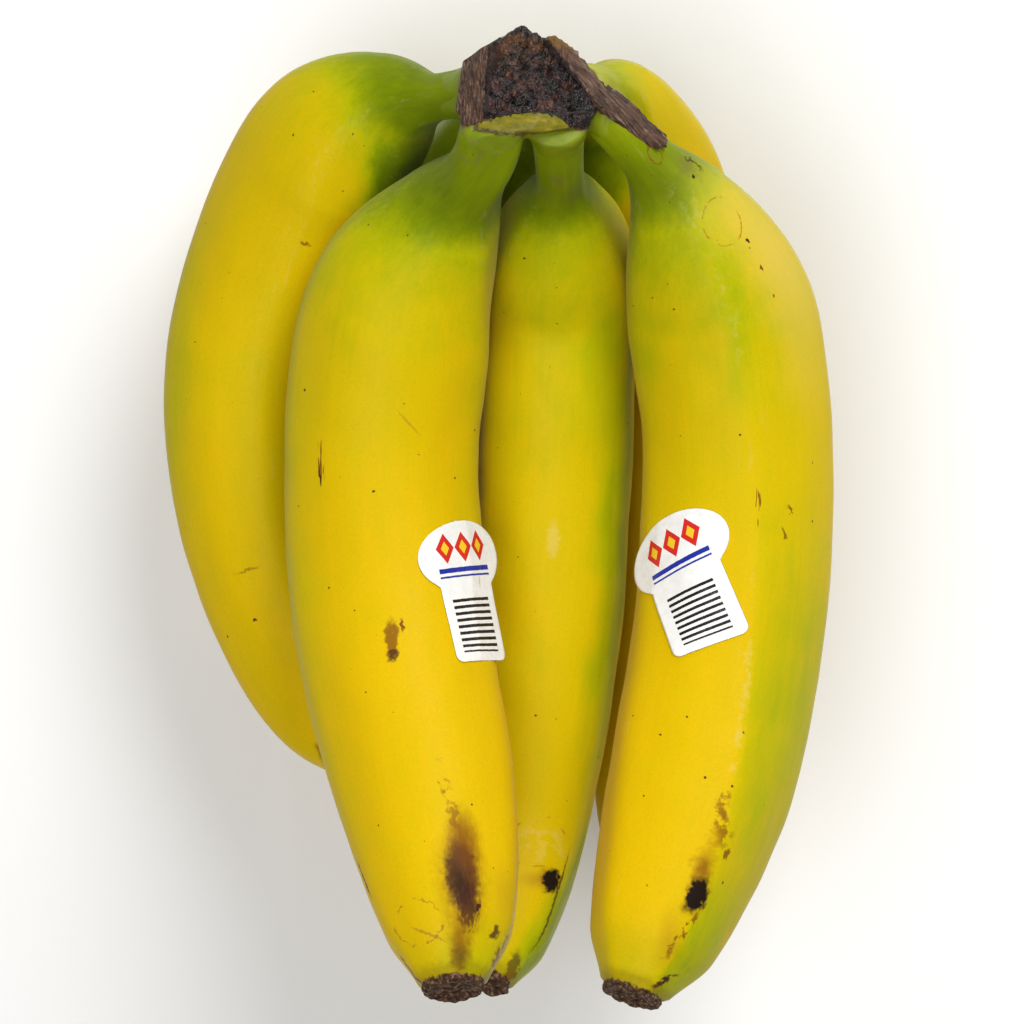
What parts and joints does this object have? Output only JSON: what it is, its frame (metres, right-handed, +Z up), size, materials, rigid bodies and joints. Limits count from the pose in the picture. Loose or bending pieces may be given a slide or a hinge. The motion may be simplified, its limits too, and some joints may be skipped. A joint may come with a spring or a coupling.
{
  "type": "bunch of bananas",
  "caption": "Bunch of ripening bananas on a dark cut crown, lying on its outer curve: yellow peel, green necks, brown blossom ends and marks, small plain printed labels.",
  "frame": {"origin": "middle of the bunch's footprint, on the surface it lies on", "axes": "+Z up; +Y along the bananas towards the crown; +X to the right, seen from above with the crown away"},
  "size_m": [0.142, 0.196, 0.1145],
  "materials": {
    "peel": "waxy banana peel: yellow belly, green neck and ridges, brown bruises, dots and scars",
    "cut_crown": "dried, nearly black cut face with fibrous brown sides and a rim of green flesh",
    "label_paper": "glossy white label with a plain printed pattern"
  },
  "bodies": {
    "root": {"crown": "cut_crown", "banana_front_left": "peel", "banana_front_middle": "peel", "banana_front_right": "peel", "banana_back_left": "peel", "banana_back_middle": "peel", "banana_back_right": "peel", "label_left": "label_paper", "label_right": "label_paper"}
  },
  "joints": []
}
